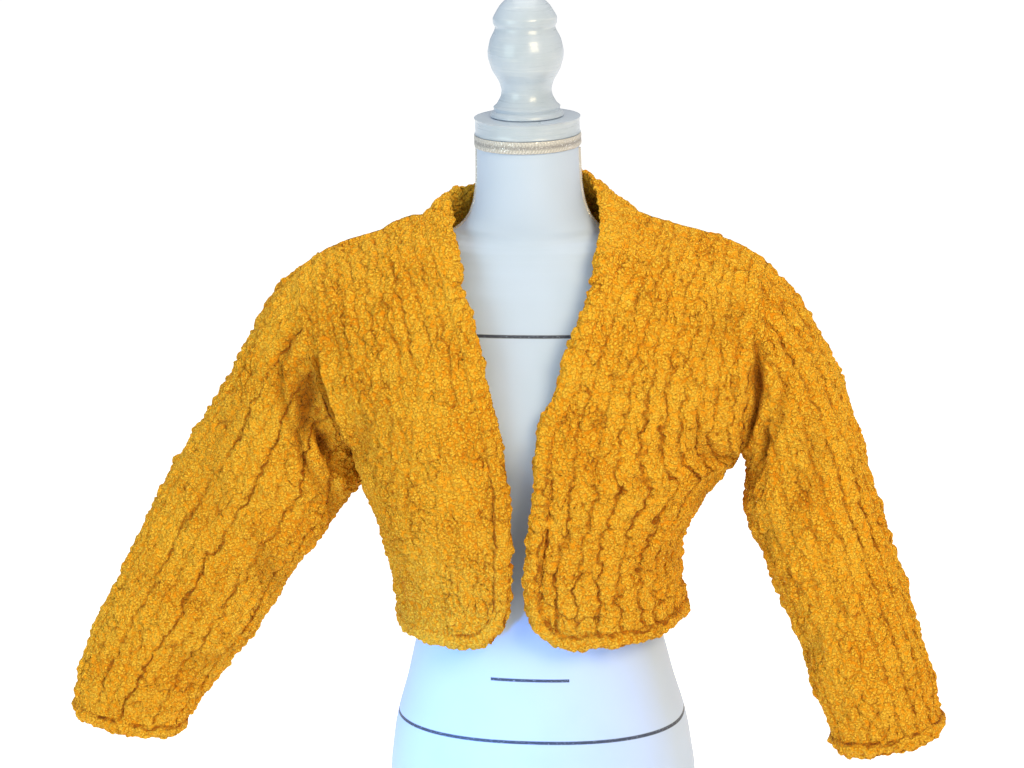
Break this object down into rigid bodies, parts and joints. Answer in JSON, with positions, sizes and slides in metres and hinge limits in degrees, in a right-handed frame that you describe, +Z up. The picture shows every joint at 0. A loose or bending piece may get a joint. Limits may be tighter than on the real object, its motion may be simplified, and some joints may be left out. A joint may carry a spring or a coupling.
{
  "type": "cropped cardigan on dress form",
  "caption": "Cropped open-front cardigan in thick chenille knit with raised ribs, wide sleeves, crocheted edging and a low collar, worn on a limbless dress form.",
  "frame": {"origin": "middle of the underside of the board that the dress form stands on", "axes": "+X to the wearer's left, which is the picture's right; -Y to the front; +Z up"},
  "size_m": [1.0468, 0.2764, 0.962],
  "materials": {
    "chenille": "thick golden-yellow chenille yarn, hand-knit, deep pile, matt",
    "jersey": "smooth white stretch cover over a padded torso",
    "braid": "narrow white braid with a few silvery threads",
    "white_paint": "turned and flat wood painted satin white"
  },
  "bodies": {
    "root": {"front_right": "chenille", "front_left": "chenille", "back": "chenille", "sleeve_right": "chenille", "sleeve_left": "chenille", "cuff_right": "chenille", "cuff_left": "chenille", "edging_front_right": "chenille", "edging_front_left": "chenille", "edging_back": "chenille", "collar": "chenille", "form_torso": "jersey", "form_neck_trim": "braid", "form_neck_cap": "white_paint", "form_finial": "white_paint", "form_board": "white_paint"}
  },
  "joints": []
}
